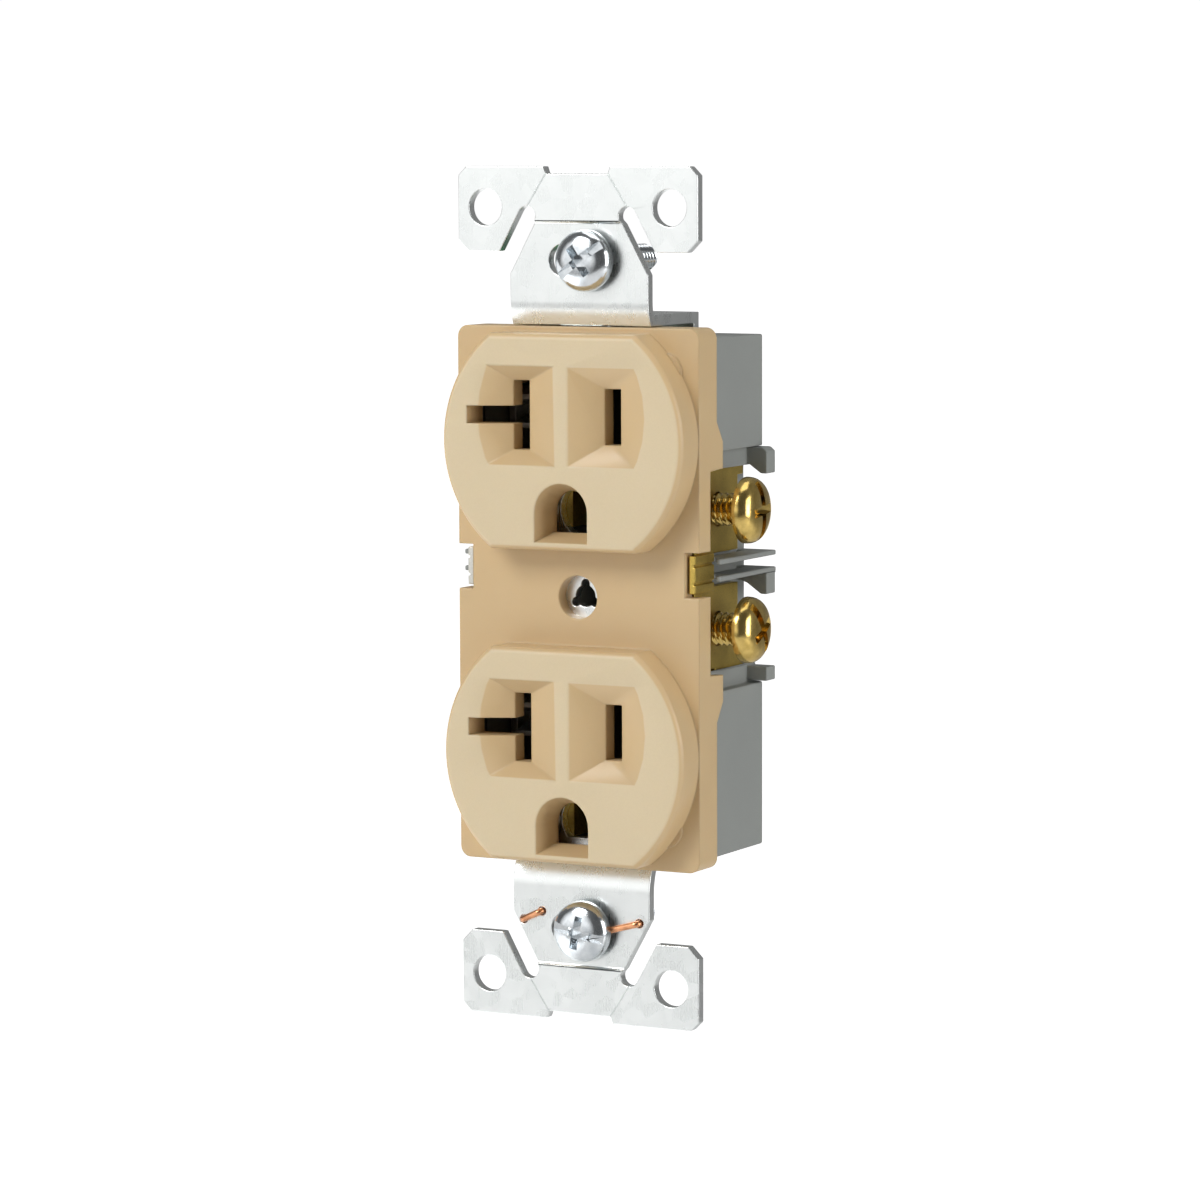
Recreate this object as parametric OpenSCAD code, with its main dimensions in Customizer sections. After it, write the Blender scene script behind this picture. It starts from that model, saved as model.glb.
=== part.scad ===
// Duplex wall receptacle: two T-slot outlets with the ground opening down,
// side wiring screws, a stamped mounting strap and an automatic grounding clip.
// X runs to the right, Y into the wall and Z up. The origin is the mouth of
// the wall-plate screw hole, on the front plane of the cover's flange.

/* [Cover] */
// Width of the cover across its flange
cover_w = 33.6; // [33.4:0.2:42]
// Distance between the centres of the two outlet faces
outlet_pitch = 38.9; // [38:0.1:48]
// Distance from an outlet face's centre to the cover's end
end_margin = 14.05; // [13.8:0.05:17]
// Thickness of the cover's flange plate
flange_t = 2; // [1.7:0.1:2.4]
// Depth of the skirt that laps the body
skirt_depth = 4.9; // [4.4:0.1:5.6]
// Thickness of the skirt
skirt_t = 1.1; // [0.9:0.1:1.3]
// Height of an outlet face above the flange
face_rise = 4.55; // [3.9:0.05:6]
// Radius of an outlet face
face_r = 16.7; // [16.2:0.1:16.8]
// Half height of an outlet face across its flats
face_flat = 13.35; // [13:0.05:13.6]
// Diameter of the wall-plate screw hole
plate_hole_d = 5.4; // [4.4:0.1:6.4]

/* [Openings] */
// Distance between the centres of the two blade slots
blade_spacing = 12.7; // [12.2:0.1:13.2]
// Height of the blade line above the face's centre
blade_rise = 3.18; // [2.9:0.02:3.4]
// Distance from the blade line down to the ground opening's centre
ground_drop = 11.9; // [11.7:0.1:12.1]
// Width of a blade slot
slot_w = 2.2; // [1.8:0.1:2.6]
// Height of the hot blade slot
hot_slot_h = 6.9; // [6.5:0.1:7.6]
// Height of the neutral slot's upright arm
neutral_slot_h = 8.6; // [7.4:0.1:9.4]
// Distance from the middle of the face to the neutral slot's outer end
arm_reach = 13.1; // [12.4:0.1:13.4]
// Half width of the ground opening
ground_r = 2.65; // [2.5:0.05:2.8]

/* [Body] */
// Depth from the flange's front plane to the back of the body
body_depth = 19.5; // [19:0.5:28]
// Thickness of the body's walls
body_wall = 1.5; // [1.2:0.1:1.8]
// Thickness of the body's back wall
back_wall = 1.9; // [1.6:0.1:2.4]

/* [Strap] */
// Thickness of the strap
strap_t = 1.4; // [1.1:0.05:1.7]
// Width of the strap across its ears
ear_w = 33.3; // [32:0.1:36]
// Width of the strap's neck
neck_w = 19.2; // [18.6:0.1:20]
// Distance from the cover's end to the box screw
screw_reach = 8.17; // [8:0.01:10]
// Distance between an ear's two screw holes, across the strap
ear_hole_spacing = 25.6; // [25:0.1:27]
// Distance from the box screw out to the ear holes
ear_hole_reach = 6.48; // [6.3:0.01:7]
// Distance from the ear holes out to the strap's end
ear_end = 5.05; // [4.6:0.05:6]
// Diameter of the ear holes
ear_hole_d = 4.6; // [4:0.1:5]
// Height of the box screw slot
box_slot_h = 4; // [3.8:0.1:4.2]
// Length of the box screw slot
box_slot_len = 8.2; // [7.6:0.1:9]

/* [Terminals] */
// Thickness of the brass terminal strips
plate_t = 1; // [0.8:0.05:1.1]
// Distance from the flange's side edge in to the terminal plate's face
plate_inset = 2.3; // [2.2:0.05:2.6]
// Distance between the two screws of one side
terminal_pitch = 14.9; // [14.5:0.1:16]
// Height of the middle between them above the plate screw hole
terminal_mid = 3.3; // [2.9:0.1:3.7]
// Radius of a terminal screw's thread
terminal_screw_r = 2.08; // [1.7:0.01:2.5]
// Gap for the wire under a terminal screw's head
wire_gap = 3.8; // [2.6:0.1:4.6]
// Thickness of the contact springs
contact_t = 0.6; // [0.5:0.05:0.7]

/* [Screws] */
// Thread radius of the box screws
box_screw_r = 1.75; // [1.5:0.05:1.8]
// Distance that the box screws reach behind the flange's front plane
box_screw_reach = 16.6; // [14:0.2:24]
// Radius of the box screws' heads
box_head_r = 3.85; // [3.6:0.05:4]
// Thread radius of the green ground screw
ground_screw_r = 2.4; // [2.1:0.1:2.5]
// Diameter of the grounding clip's wire
clip_d = 0.8; // [0.6:0.05:0.9]

/* [Hidden] */
$fn = 48;

ivory = "#E2D2B0";
grey = "#979A95";
galvanised = "#D4DAD8";
brass = "#B08F46";
nickel = "#C9C9C2";
copper = "#B5683C";
zinc = "#AEB8BC";
green = "#2F7A45";

// Clearances: between moulded parts, and of a running fit
fit_gap = 0.1;
run_gap = 0.05;

// Cover
cover_hw = cover_w / 2;
cover_hh = outlet_pitch / 2 + end_margin;
cover_corner = 1.4;
face_edge = 0.85;
face_wall = 1.6;
face_floor = 0.4;                 // cavity floor, in front of the flange plane
pocket_depth = 1.91;              // depth of the hopper around a slot
pocket_half_h = 6.2;
rib_half = 0.85;
pocket_arc_r = 13.9;
pocket_arc_x = -2.13;
ground_recess = 1.05;             // how much the ground recess is wider
ground_depth = 2.9;
boss_r = 2.3;
boss_split = 8;                   // depth where cover boss and body post meet
skirt_in = cover_hw - skirt_t;
notch_half = 2.8;                 // half height of the break-off tab's notch
notch_in = cover_hw - 2;
opening_half = 12.6;              // half height of the wiring opening
opening_edge = 3.1;               // skirt depth along that opening
deep_edge = 6.6;                  // skirt depth beside it
deep_half = 16.1;
ramp_half = 18.6;

// Body
body_hw = cover_hw - 0.4;
body_hh = cover_hh - 1.3;
rim_hw = skirt_in - fit_gap;
rim_hh = cover_hh - skirt_t - 1.1;
cavity_hw = body_hw - body_wall;
cavity_hh = body_hh - body_wall;
cavity_back = body_depth - back_wall;
body_edge = 1.2;
pillar_hw = 5.5;                  // central pillar that backs the strap
pillar_top = 3;
pillar_low = -9;
barrier_half = 5;                 // barriers between the poles of an outlet
hook_front = body_depth - 2.7;    // wire hooks
hook_back = body_depth - 0.2;
hook_out = cover_hw + 1.1;
fin_t = 0.65;                     // fins between the two wire recesses

// Strap
strap_y = flange_t;               // front face of the strap inside the device
strap_back = strap_y + strap_t;
body_front = strap_back + run_gap;
joggle = 0.45;                    // step from the ears back to the neck
box_screw_z = cover_hh + screw_reach;
ear_hole_z = box_screw_z + ear_hole_reach;
strap_hh = ear_hole_z + ear_end;
ear_in = ear_hole_z - 5.45;       // inner end of the ears
ear_corner = 1.1;                 // chamfers of the ears' outer and inner corners
ear_corner_in = 1.45;
web_drop = 0.9;                   // the web between the ears ends short of them
web_hw = 4.3;
shoulder = 1.2;                   // the neck's shoulders start below the box screw
ear_hw = ear_w / 2;
neck_hw = neck_w / 2;
step_z = ear_hole_z - 1.7;        // where the neck steps back
bend_out = cover_hh + 3.1;        // the neck bends between these two heights
bend_in = cover_hh - 3.1;
spine_hw = 2.8;
pad_hw = 7;
tab_z = cover_hh + fit_gap;       // underside of the ground screw's tab
tab_depth = 14.5;

// Outlets
blade_x = blade_spacing / 2;
ground_z = blade_rise - ground_drop;
function outlet_z(up) = up * outlet_pitch / 2;

// Terminal strips
plate_out = cover_hw - plate_inset;
plate_in = plate_out - plate_t;
recess_floor = plate_in - fit_gap;
recess_wall = 1.3;
recess_in = recess_floor - recess_wall;
plate_front = opening_edge + 0.2;
plate_back = cavity_back - 2.1;
square_gap = 4.1;                 // gap between the two squares of a strip
square_h = 10.35;
foot_back = cavity_back - 0.6;
foot_front = foot_back - plate_t;
foot_half = 2.8;
screw_y = 10;                     // depth of the terminal screws' axes
screw_hole_r = terminal_screw_r + run_gap;
collar_r = screw_hole_r + 0.9;
rivet_r = 0.9;
rivet_head_r = 1.4;
rivet_x = plate_in - 1.9;

// Contacts
contact_front = 4.2;
contact_base = foot_front - contact_t;
contact_gap = 1.9;                // between the two springs at their root
contact_pinch = 1.3;              // and where they grip the blade
contact_half = 3.1;

// Screws
head_y = -0.55;                   // underside of the box screws' heads
box_head_h = 2.2;
upper_screw_x = 1.5;
lower_screw_x = 0.9;
washer_y = joggle + strap_t + 1.45;
washer_t = 0.8;
washer_r = 3.5;
neck_r = box_screw_r - 0.4;         // plain neck that the retainer grips
terminal_head_r = 4.15;
terminal_head_h = 2.5;
terminal_tip = plate_in - 2.5;
ground_x = -6.3;
ground_y = 9;
ground_gap = 2.4;
ground_head_h = 2.2;
ground_tip = 2.7;                 // how far its tip passes the tab
post_x = body_hw - 4.2;
post_z = body_hh - 4;
post_screw_r = 1.2;

// Extrudes an X-Z outline along Y, a Y-Z outline along X
module along_y(y0, y1) translate([0, y1, 0]) rotate([90, 0, 0]) linear_extrude(y1 - y0) children();
module along_x(x0, x1) translate([x0, 0, 0]) rotate([90, 0, 90]) linear_extrude(x1 - x0) children();
module rod_y(x, z, y0, y1, r) translate([x, y0, z]) rotate([-90, 0, 0]) cylinder(h = y1 - y0, r = r);
module rod_x(y, z, x0, x1, r) translate([x0, y, z]) rotate([0, 90, 0]) cylinder(h = x1 - x0, r = r);
module block(x0, x1, y0, y1, z0, z1) translate([x0, y0, z0]) cube([x1 - x0, y1 - y0, z1 - z0]);
module both_sides() for (s = [0, 1]) mirror([s, 0, 0]) children();
module both_ends() for (s = [0, 1]) mirror([0, 0, s]) children();

// Rectangle with round corners, by half sizes
module round_rect(hw, hh, r) {
    square([2 * hw - 2 * r, 2 * hh], center = true);
    square([2 * hw, 2 * hh - 2 * r], center = true);
    for (x = [r - hw, hw - r], y = [r - hh, hh - r]) translate([x, y]) circle(r);
}

// ---- Cover ----

// Raised outlet face: a disc with two flats and a rounded front edge
module outlet_face(r, flat, y_front, y_back, edge) {
    h = y_back - y_front;
    intersection() {
        translate([0, y_back, 0]) rotate([90, 0, 0]) rotate_extrude() {
            square([r, h - edge]);
            square([r - edge, h]);
            translate([r - edge, h - edge]) circle(edge);
        }
        along_x(-r - 1, r + 1) {
            translate([y_front, edge - flat]) square([h, 2 * (flat - edge)]);
            translate([y_front + edge, -flat]) square([h - edge, 2 * flat]);
            for (s = [-1, 1]) translate([y_front + edge, s * (flat - edge)]) circle(edge);
        }
    }
}

// Outline of a hopper where it opens at the face
module pocket_mouth() intersection() {
    translate([rib_half, -pocket_half_h]) square([20, 2 * pocket_half_h]);
    translate([pocket_arc_x, 0]) circle(pocket_arc_r);
}

// Hopper that leads a blade into its slot
module pocket(slot_h) hull($fn = 32) {
    along_y(-face_rise - 1, -face_rise + 0.01) pocket_mouth($fn = 32);
    along_y(-face_rise, pocket_depth - face_rise)
        translate([blade_x, 0]) square([slot_w, slot_h], center = true);
}

// Arch of the ground opening, widened by grow
module ground_arch(grow) {
    r = ground_r + grow;
    circle(r);
    translate([-r, -ground_r - grow]) square([2 * r, r]);
}

module ground_funnel() hull($fn = 32) {
    along_y(-face_rise - 1, -face_rise + 0.01) ground_arch(ground_recess, $fn = 32);
    along_y(-face_rise, ground_depth - face_rise) ground_arch(0, $fn = 32);
}

// Everything cut through one outlet face, from its blade line
module outlet_cuts() {
    pocket(hot_slot_h);
    mirror([1, 0, 0]) pocket(neutral_slot_h);
    along_y(-face_rise, flange_t) {
        translate([blade_x, 0]) square([slot_w, hot_slot_h], center = true);
        translate([-blade_x, 0]) square([slot_w, neutral_slot_h], center = true);
        translate([-arm_reach, -slot_w / 2]) square([arm_reach - blade_x, slot_w]);
    }
    // The arm stays open in front of the hopper too
    along_y(-face_rise - 1, -face_rise + 0.5)
        translate([-arm_reach, -slot_w / 2]) square([arm_reach - blade_x, slot_w]);
    translate([0, 0, -ground_drop]) {
        ground_funnel();
        along_y(-face_rise, flange_t) ground_arch(0);
    }
}

// Line of the skirt's back edge along the side, as a Y-Z outline
module skirt_side() polygon([
    [0, -cover_hh], [skirt_depth, -cover_hh],
    [skirt_depth, terminal_mid - ramp_half], [deep_edge, terminal_mid - deep_half],
    [deep_edge, terminal_mid - opening_half - 0.2], [opening_edge, terminal_mid - opening_half],
    [opening_edge, terminal_mid + opening_half], [deep_edge, terminal_mid + opening_half + 0.2],
    [deep_edge, terminal_mid + deep_half], [skirt_depth, terminal_mid + ramp_half],
    [skirt_depth, cover_hh], [0, cover_hh]]);

module skirt() intersection() {
    along_y(0, deep_edge) difference() {
        round_rect(cover_hw, cover_hh, cover_corner);
        square([2 * skirt_in, 2 * (cover_hh - skirt_t)], center = true);
    }
    along_x(-cover_hw, cover_hw) skirt_side();
}

// Room for the strap where it leaves the cover, hw wide each side
module strap_room(hw) along_x(-hw, hw) polygon([
    for (z = [bend_in - 1 : 0.5 : bend_out]) [neck_front(z) - run_gap, z],
    [12, bend_out], [12, bend_in - 1]]);

module front_cover() color(ivory) difference() {
    union() {
        difference() {
            union() {
                along_y(0, flange_t) round_rect(cover_hw, cover_hh, cover_corner);
                for (s = [-1, 1]) translate([0, 0, outlet_z(s)])
                    outlet_face(face_r, face_flat, -face_rise, flange_t, face_edge);
            }
            for (s = [-1, 1]) translate([0, 0, outlet_z(s)])
                outlet_face(face_r - face_wall, face_flat - face_wall, -face_floor, flange_t + 1, 0.3);
        }
        skirt();
        both_ends() both_sides() rod_y(post_x, post_z, -face_floor, boss_split, boss_r);
    }
    for (s = [-1, 1]) translate([0, 0, outlet_z(s) + blade_rise]) outlet_cuts();
    rod_y(0, 0, -1, flange_t + 1, plate_hole_d / 2);
    both_sides() block(notch_in, cover_hw + 1, -1, 10, terminal_mid - notch_half, terminal_mid + notch_half);
    strap_room(spine_hw + 0.3);
    mirror([0, 0, 1]) strap_room(neck_hw + 0.3);
    both_ends() both_sides() rod_y(post_x, post_z, flange_t + 0.6, boss_split + 1, post_screw_r + 0.02);
}

// ---- Body ----

module body_outline() difference() {
    square([2 * body_hw, 2 * body_hh], center = true);
    for (s = [-1, 1]) {
        translate([s * (recess_floor + 10), terminal_mid])
            square([20, 2 * opening_half - 0.2], center = true);
        translate([s * (body_hw + 8.6), terminal_mid]) square([20, 2 * opening_half + 4.6], center = true);
    }
}

module cavity_outline() difference() {
    square([2 * cavity_hw, 2 * cavity_hh], center = true);
    for (s = [-1, 1]) translate([s * (recess_in + 10), terminal_mid])
        square([20, 2 * opening_half + 2.4], center = true);
}

// Outer form of the body, with its back edges rounded
module body_form() intersection() {
    along_y(body_front, body_depth) square([2 * body_hw, 2 * body_hh], center = true);
    translate([0, 0, -body_hh]) linear_extrude(2 * body_hh)
        translate([0, body_depth / 2]) round_rect(body_hw, body_depth / 2, body_edge);
    along_x(-body_hw, body_hw)
        translate([body_depth / 2, 0]) round_rect(body_depth / 2, body_hh, body_edge);
}

// Room for the cover's skirt around the body's rim
module skirt_room() {
    difference() {
        along_y(-1, skirt_depth + run_gap) square([2 * body_hw + 2, 2 * body_hh + 2], center = true);
        along_y(-2, skirt_depth + 1) square([2 * rim_hw, 2 * rim_hh], center = true);
    }
    both_sides() along_x(rim_hw, body_hw + 1) polygon([
        [0, terminal_mid - ramp_half - 0.1], [skirt_depth + run_gap, terminal_mid - ramp_half - 0.1],
        [deep_edge + fit_gap, terminal_mid - deep_half - 0.1],
        [deep_edge + fit_gap, terminal_mid + deep_half + 0.1],
        [skirt_depth + run_gap, terminal_mid + ramp_half + 0.1], [0, terminal_mid + ramp_half + 0.1]]);
}

// Hook that keeps a wire under its screw, hanging from z_top
module wire_hook(z_top) along_y(hook_front, hook_back)
    polygon([[recess_in, z_top - 1.4], [recess_floor + 1.6, z_top - 1.9], [hook_out - 0.9, z_top - 3.3],
        [hook_out, z_top - 3.3], [hook_out, z_top - 0.5], [hook_out - 0.6, z_top],
        [recess_in, z_top]]);

module side_fins() {
    difference() {
        for (z = [1.15, -0.95]) block(recess_in, hook_out + 0.1, opening_edge + 0.4, hook_back,
            terminal_mid + z, terminal_mid + z + fin_t);
        // Room for the break-off tab
        block(recess_floor, plate_out + 1.6, 0, 6.3, terminal_mid - 3, terminal_mid + 3);
    }
    wire_hook(terminal_mid + opening_half + 2.2);
    wire_hook(terminal_mid - 0.35);
    block(recess_in, hook_out, hook_front, hook_back,
        terminal_mid - opening_half - 2, terminal_mid - opening_half - 0.2);
}

module rear_body() color(grey) difference() {
    union() {
        intersection() {
            body_form();
            difference() {
                along_y(0, body_depth) body_outline();
                along_y(0, cavity_back) cavity_outline();
            }
        }
        both_sides() side_fins();
        both_ends() both_sides() rod_y(post_x, post_z, boss_split + run_gap, cavity_back + 0.1, boss_r);
        // Central pillar that backs the strap, and barriers between the poles
        block(-pillar_hw, pillar_hw, body_front, cavity_back + 0.1, pillar_low, pillar_top);
        for (s = [-1, 1]) block(-0.7, 0.7, boss_split, cavity_back + 0.1,
            outlet_z(s) + blade_rise - barrier_half, outlet_z(s) + blade_rise + barrier_half);
        // Ledges under the contact feet
        both_sides() for (s = [-1, 1]) block(rivet_x + rivet_head_r + fit_gap, cavity_hw + 0.1,
            foot_back, cavity_back + 0.1,
            outlet_z(s) + blade_rise - foot_half, outlet_z(s) + blade_rise + foot_half);
    }
    skirt_room();
    // Slots for the strips where they enter the wiring recess, and holes for their collars
    both_sides() block(recess_floor, plate_out + fit_gap, body_front - 1, foot_back + fit_gap,
        terminal_mid - opening_half - 3, terminal_mid + opening_half + 3);
    both_sides() for (s = [-1, 1]) rod_x(screw_y, terminal_mid + s * terminal_pitch / 2,
        recess_in - 1, recess_floor + 1, collar_r + 0.3);
    rod_y(0, 0, body_front - 1, cavity_back, 2.2);
    both_ends() both_sides() {
        rod_y(post_x, post_z, boss_split, body_depth, post_screw_r + 0.2);
        rod_y(post_x, post_z, cavity_back + 0.4, body_depth + 1, boss_r + 0.1);
    }
    translate([ground_x, ground_y, body_hh - 4]) cylinder(h = 6, r = ground_screw_r + 0.5);
}

// ---- Strap ----

// Depth of the strap's front face at height z
function neck_front(z) =
    z >= step_z + 0.25 ? 0 :
    z >= step_z - 0.25 ? joggle * (step_z + 0.25 - z) / 0.5 :
    z >= bend_out ? joggle :
    z <= bend_in ? strap_y :
    strap_y + (joggle - strap_y) * (1 - cos(180 * (z - bend_in) / (bend_out - bend_in))) / 2;

// Side view of the stepped and bent neck, as a Y-Z outline
module neck_side(z0, z1) {
    heights = [z0, for (k = [0 : 12]) bend_in + (bend_out - bend_in) * k / 12,
        step_z - 0.25, step_z + 0.25, z1];
    used = [for (z = heights) if (z >= z0 && z <= z1) z];
    n = len(used);
    polygon([for (z = used) [neck_front(z), z],
        for (k = [n - 1 : -1 : 0]) [neck_front(used[k]) + strap_t, used[k]]]);
}

// Slot that parts an ear from the neck
module ear_slot() {
    translate([7, step_z + 0.65]) {
        circle(1.2);
        rotate(-61) translate([0, -1.2]) square([12, 2.4]);
    }
}

module ears_outline() difference() {
    half = [[web_hw, strap_hh - web_drop], [web_hw + 0.3, strap_hh],
        [ear_hw - ear_corner, strap_hh], [ear_hw, strap_hh - ear_corner],
        [ear_hw, ear_in + ear_corner_in], [ear_hw - ear_corner_in, ear_in],
        [neck_hw, ear_in], [6, step_z]];
    polygon([for (p = half) p, for (k = [len(half) - 1 : -1 : 0]) [-half[k][0], half[k][1]]]);
    for (s = [0, 1]) mirror([s, 0]) {
        ear_slot();
        translate([ear_hole_spacing / 2, ear_hole_z]) circle(ear_hole_d / 2);
    }
}

module box_slot() {
    square([box_slot_len - box_slot_h, box_slot_h], center = true);
    for (s = [-1, 1]) translate([s * (box_slot_len - box_slot_h) / 2, 0]) circle(box_slot_h / 2);
}

module neck_outline(z0) difference() {
    polygon([[-neck_hw, z0], [neck_hw, z0], [neck_hw, box_screw_z - shoulder], [5.8, step_z + 0.4],
        [-5.8, step_z + 0.4], [-neck_hw, box_screw_z - shoulder]]);
    for (s = [0, 1]) mirror([s, 0]) ear_slot();
    translate([0, box_screw_z]) box_slot();
}

// One end of the strap: ears, step and bent neck, down to height z0
module strap_end(z0) {
    along_y(0, strap_t) ears_outline();
    intersection() {
        along_y(-1, 6) neck_outline(z0);
        along_x(-neck_hw, neck_hw) neck_side(z0, step_z + 0.4);
    }
}

// Spine between the cover and the body, with its pads
module strap_middle() {
    along_y(strap_y, strap_back) difference() {
        union() {
            square([2 * spine_hw, 2 * bend_in], center = true);
            for (s = [-1, 1]) translate([0, outlet_z(s) + ground_z]) round_rect(pad_hw, 4.2, 1);
            translate([0, -0.5]) round_rect(pad_hw, 6.2, 1);
            translate([-neck_hw, -bend_in]) square([neck_w, 1.5]);
        }
        for (s = [-1, 1]) translate([0, outlet_z(s) + ground_z]) circle(3.4);
        thread_hole();
    }
    intersection() {
        along_y(-1, 6) translate([-spine_hw, bend_in - 1]) square([2 * spine_hw, cover_hh + 1.1 - bend_in]);
        along_x(-neck_hw, neck_hw) neck_side(bend_in - 1, tab_z + strap_t);
    }
}

// Three-lobed hole that takes the wall-plate screw's thread
module thread_hole() {
    circle(1.35);
    for (a = [90, 210, 330]) rotate(a) translate([0, -0.55]) square([1.55, 1.1]);
    for (a = [90, 210, 330]) rotate(a) translate([1.55, 0]) circle(0.55);
}

// Tabs bent back over the body: the left one takes the ground screw
module ground_tabs() both_sides() {
    block(spine_hw + 0.4, neck_hw, joggle + 1.2, tab_depth, tab_z, tab_z + strap_t);
    block(spine_hw + 0.4, neck_hw, tab_depth - strap_t, tab_depth, body_hh + run_gap, tab_z + strap_t - 0.3);
}

module mounting_strap() color(galvanised) difference() {
    union() {
        strap_end(tab_z);
        mirror([0, 0, 1]) strap_end(bend_in);
        strap_middle();
        ground_tabs();
    }
    translate([ground_x, ground_y, tab_z - 1]) cylinder(h = strap_t + 2, r = ground_screw_r + run_gap);
    for (p = clip_holes) rod_y(p[0], p[1], -1, 4, clip_d / 2 + 0.12);
    for (s = [-1, 1], x = [-1, 1]) rod_y(x * rivet_ground_x, outlet_z(s) + ground_z, 1, 5, rivet_r + 0.02);
}

// Copper wire clip on the lower neck: hooked through two holes on the left,
// it crosses behind the neck and comes forward to touch the box screw
clip_r = clip_d / 2;
clip_left = [-8.1, 0.7 - box_screw_z];
clip_hook = [-5.5, 1.9 - box_screw_z];
clip_right = [8.2, 1.3 - box_screw_z];
clip_holes = [clip_left, clip_hook, clip_right];
clip_bend_r = clip_r + 0.02;        // the wire swells a little where it is bent
clip_front = joggle - clip_bend_r - 0.03;
clip_rear = joggle + strap_t + clip_bend_r + 0.03;
clip_top = washer_r + clip_r + 0.6 - box_screw_z;
clip_path = [
    [clip_hook[0], clip_rear, clip_hook[1]], [clip_hook[0], clip_front, clip_hook[1]],
    [clip_left[0], clip_front, clip_left[1]], [clip_left[0], clip_rear, clip_left[1]],
    [-4.8, clip_rear, clip_top], [5.6, clip_rear, clip_top],
    [clip_right[0], clip_rear, clip_right[1]], [clip_right[0], clip_front, clip_right[1]],
    [lower_screw_x + box_screw_r + clip_r, clip_front, -box_screw_z - 0.1]];

// Straight length of wire from a to b
module wire(a, b, r) {
    v = b - a;
    translate(a) rotate([0, acos(v[2] / norm(v)), atan2(v[1], v[0])]) cylinder(h = norm(v), r = r, $fn = 24);
}

module auto_ground_clip() color(copper) {
    for (k = [0 : len(clip_path) - 2]) wire(clip_path[k], clip_path[k + 1], clip_r);
    for (p = clip_path) translate(p) sphere(clip_bend_r, $fn = 24);
}

// ---- Terminal strips and contacts ----

module strip_square(s) {
    z0 = terminal_mid + s * square_gap / 2;
    z1 = terminal_mid + s * (square_gap / 2 + square_h);
    block(plate_in, plate_out, plate_front, plate_back, min(z0, z1), max(z0, z1));
}

// Leg that carries the current from a square to its outlet's contact
module strip_leg(s) {
    z0 = terminal_mid + s * (square_gap / 2 + square_h - 1);
    z1 = outlet_z(s) + blade_rise + s * foot_half;
    zc = outlet_z(s) + blade_rise;
    block(plate_in, plate_out, screw_y - 1, foot_back, min(z0, z1), max(z0, z1));
    block(rivet_x - 2, plate_in + 0.1, foot_front, foot_back, zc - foot_half, zc + foot_half);
}

// Tab that joins the two squares until it is broken off
module break_off_tab() {
    out = plate_out + 1.4;
    half = notch_half - 0.45;
    difference() {
        block(plate_out + 0.6, out, 0.6, 6, terminal_mid - half, terminal_mid + half);
        for (z = [-1.1, 1.1])
            block(out - 0.25, out + 1, 0, 7, terminal_mid + z - 0.15, terminal_mid + z + 0.15);
    }
    for (s = [-1, 1]) {
        z0 = terminal_mid + s * half;
        z1 = terminal_mid + s * (half - 1);
        block(plate_in, out, 3.6, 6, min(z0, z1), max(z0, z1));
    }
}

module terminal_strip() difference() {
    union() {
        for (s = [-1, 1]) {
            strip_square(s);
            strip_leg(s);
            rod_x(screw_y, terminal_mid + s * terminal_pitch / 2, plate_in - 1.2, plate_out, collar_r);
        }
        break_off_tab();
    }
    for (s = [-1, 1]) {
        rod_x(screw_y, terminal_mid + s * terminal_pitch / 2, plate_in - 2, plate_out + 1, screw_hole_r);
        rod_y(rivet_x, outlet_z(s) + blade_rise, foot_front - 1, foot_back + 1, rivet_r + 0.02);
    }
}

module hot_terminal_strip() color(brass) terminal_strip();
module neutral_terminal_strip() color(nickel) mirror([1, 0, 0]) terminal_strip();

// One contact spring, flared at its mouth and pinched where it grips; X-Y outline
module spring_side() {
    pts = [[contact_pinch / 2 + 1, contact_front], [contact_pinch / 2, contact_front + 3.2],
        [contact_gap / 2, contact_front + 7], [contact_gap / 2, contact_base + contact_t]];
    polygon([for (p = pts) p, for (k = [3 : -1 : 0]) pts[k] + [contact_t, 0]]);
}

// Pair of springs on one base, with a pad that reaches the rivet
module contact_pair(half_h) {
    translate([blade_x, 0, -half_h]) linear_extrude(2 * half_h) {
        spring_side();
        mirror([1, 0]) spring_side();
        translate([-contact_gap / 2 - contact_t, contact_base])
            square([contact_gap + 2 * contact_t, contact_t]);
    }
    block(blade_x + contact_gap / 2, rivet_x + 1.8, contact_base, contact_base + contact_t,
        -foot_half, foot_half);
}

module hot_contact(s) color(brass) translate([0, 0, outlet_z(s) + blade_rise]) difference() {
    contact_pair(contact_half);
    rod_y(rivet_x, 0, contact_base - 1, foot_front + 1, rivet_r + 0.02);
}

// The neutral contact also grips a blade that lies across, through a window
module neutral_contact(s) color(nickel) translate([0, 0, outlet_z(s) + blade_rise]) mirror([1, 0, 0])
difference() {
    union() {
        difference() {
            contact_pair(contact_half + 0.8);
            block(blade_x - 0.2, blade_x + 4, contact_front - 1, contact_base - 1.6, -1.5, 1.5);
        }
        for (k = [0, 1]) mirror([0, 0, k]) along_x(blade_x + contact_gap / 2 + contact_t + 0.2, rivet_x - 0.2)
            polygon([for (p = side_spring) p, for (j = [2 : -1 : 0]) side_spring[j] + [0, contact_t]]);
    }
    rod_y(rivet_x, 0, contact_base - 1, foot_front + 1, rivet_r + 0.02);
    block(rivet_x - rivet_head_r - 0.1, rivet_x + 3, contact_base - 1, contact_base, -2, 2);
}
side_spring = [[contact_front + 0.6, 1.5], [contact_front + 3.6, 0.65], [contact_base + 0.1, 1.1]];

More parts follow.
